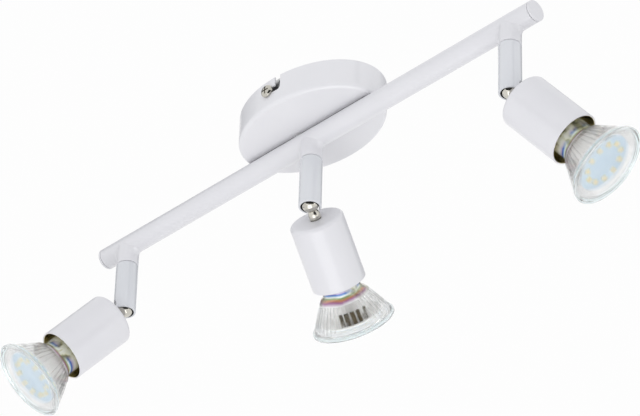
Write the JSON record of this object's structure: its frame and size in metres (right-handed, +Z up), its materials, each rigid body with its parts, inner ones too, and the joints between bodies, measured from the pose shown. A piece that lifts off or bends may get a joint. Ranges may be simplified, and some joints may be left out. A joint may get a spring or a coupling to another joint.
{
  "type": "ceiling spotlight bar",
  "caption": "White ceiling bar light with an oval canopy and swivelling, tilting spot heads on short arms, each holding a twist-lock reflector lamp.",
  "frame": {"origin": "on the ceiling plane at the middle of the oval canopy, on the upper face of the mounting bracket", "axes": "+X along the bar, +Z up into the ceiling, -Y towards the side of the canopy whose screw faces the room"},
  "size_m": [0.4319, 0.1402, 0.1471],
  "materials": {
    "white_paint": "glossy white powder coat",
    "zinc_steel": "zinc-plated",
    "chrome": "polished",
    "brass": "plain turned",
    "white_nylon": "matt",
    "ceramic": "unglazed",
    "silicone": "satin",
    "pin_steel": "nickel-plated",
    "clear_glass": "clear, ribbed inside",
    "led_board": "white solder mask with yellow phosphor chips"
  },
  "bodies": {
    "fixture": {"canopy": "white_paint", "mounting_bracket": "zinc_steel", "side_screw_front": "chrome", "side_screw_back": "chrome", "earth_screw": "brass", "terminal_block": "white_nylon", "canopy_nipple": "zinc_steel", "nipple_washer": "zinc_steel", "nipple_nut": "brass", "bar_tube": "white_paint", "bar_end_cap_left": "white_paint", "bar_end_cap_right": "white_paint", "supply_lead_left": "silicone", "supply_lead_middle": "silicone", "supply_lead_right": "silicone", "arm_collar_left": "white_paint", "swivel_stud_left": "zinc_steel", "swivel_nut_left": "brass", "arm_collar_middle": "white_paint", "swivel_stud_middle": "zinc_steel", "swivel_nut_middle": "brass", "arm_collar_right": "white_paint", "swivel_stud_right": "zinc_steel", "swivel_nut_right": "brass"},
    "arm_left": {"arm_tube_left": "white_paint"},
    "head_left": {"knuckle_left": "chrome", "shell_left": "white_paint", "holder_bridge_left": "zinc_steel", "holder_body_left": "ceramic", "holder_lead_left": "silicone"},
    "lamp_left": {"lamp_pin_a_left": "pin_steel", "lamp_pin_b_left": "pin_steel", "lamp_base_left": "white_nylon", "lamp_reflector_left": "clear_glass", "led_board_left": "led_board", "lamp_front_glass_left": "clear_glass"},
    "arm_middle": {"arm_tube_middle": "white_paint"},
    "head_middle": {"knuckle_middle": "chrome", "shell_middle": "white_paint", "holder_bridge_middle": "zinc_steel", "holder_body_middle": "ceramic", "holder_lead_middle": "silicone"},
    "lamp_middle": {"lamp_pin_a_middle": "pin_steel", "lamp_pin_b_middle": "pin_steel", "lamp_base_middle": "white_nylon", "lamp_reflector_middle": "clear_glass", "led_board_middle": "led_board", "lamp_front_glass_middle": "clear_glass"},
    "arm_right": {"arm_tube_right": "white_paint"},
    "head_right": {"knuckle_right": "chrome", "shell_right": "white_paint", "holder_bridge_right": "zinc_steel", "holder_body_right": "ceramic", "holder_lead_right": "silicone"},
    "lamp_right": {"lamp_pin_a_right": "pin_steel", "lamp_pin_b_right": "pin_steel", "lamp_base_right": "white_nylon", "lamp_reflector_right": "clear_glass", "led_board_right": "led_board", "lamp_front_glass_right": "clear_glass"}
  },
  "joints": [
    {"name": "swivel_left", "type": "hinge", "parent": "fixture", "child": "arm_left", "pos_m": [-0.156, 0, -0.0728], "axis": [0, 0, 1], "range_deg": [-126, 204]},
    {"name": "tilt_left", "type": "hinge", "parent": "arm_left", "child": "head_left", "pos_m": [-0.156, 0, -0.0728], "axis": [-0.7771, 0.6293, 0], "range_deg": [-43.4, 46.6]},
    {"name": "lamp_twist_left", "type": "hinge", "parent": "head_left", "child": "lamp_left", "pos_m": [-0.156, 0, -0.0728], "axis": [-0.4324, -0.534, -0.7266], "range_deg": [-22, 0]},
    {"name": "swivel_middle", "type": "hinge", "parent": "fixture", "child": "arm_middle", "pos_m": [0, 0, -0.0728], "axis": [0, 0, 1], "range_deg": [-6.4, 323.6]},
    {"name": "tilt_middle", "type": "hinge", "parent": "arm_middle", "child": "head_middle", "pos_m": [0, 0, -0.0728], "axis": [0.9311, 0.3649, 0], "range_deg": [-59.4, 30.6]},
    {"name": "lamp_twist_middle", "type": "hinge", "parent": "head_middle", "child": "lamp_middle", "pos_m": [0, 0, -0.0728], "axis": [-0.3141, 0.8014, -0.509], "range_deg": [-22, 0]},
    {"name": "swivel_right", "type": "hinge", "parent": "fixture", "child": "arm_right", "pos_m": [0.156, 0, -0.0728], "axis": [0, 0, 1], "range_deg": [-290.6, 39.4]},
    {"name": "tilt_right", "type": "hinge", "parent": "arm_right", "child": "head_right", "pos_m": [0.156, 0, -0.0728], "axis": [0.5821, -0.8131, 0], "range_deg": [-42.7, 47.3]},
    {"name": "lamp_twist_right", "type": "hinge", "parent": "head_right", "child": "lamp_right", "pos_m": [0.156, 0, -0.0728], "axis": [0.5514, 0.3948, -0.7349], "range_deg": [-22, 0]}
  ]
}
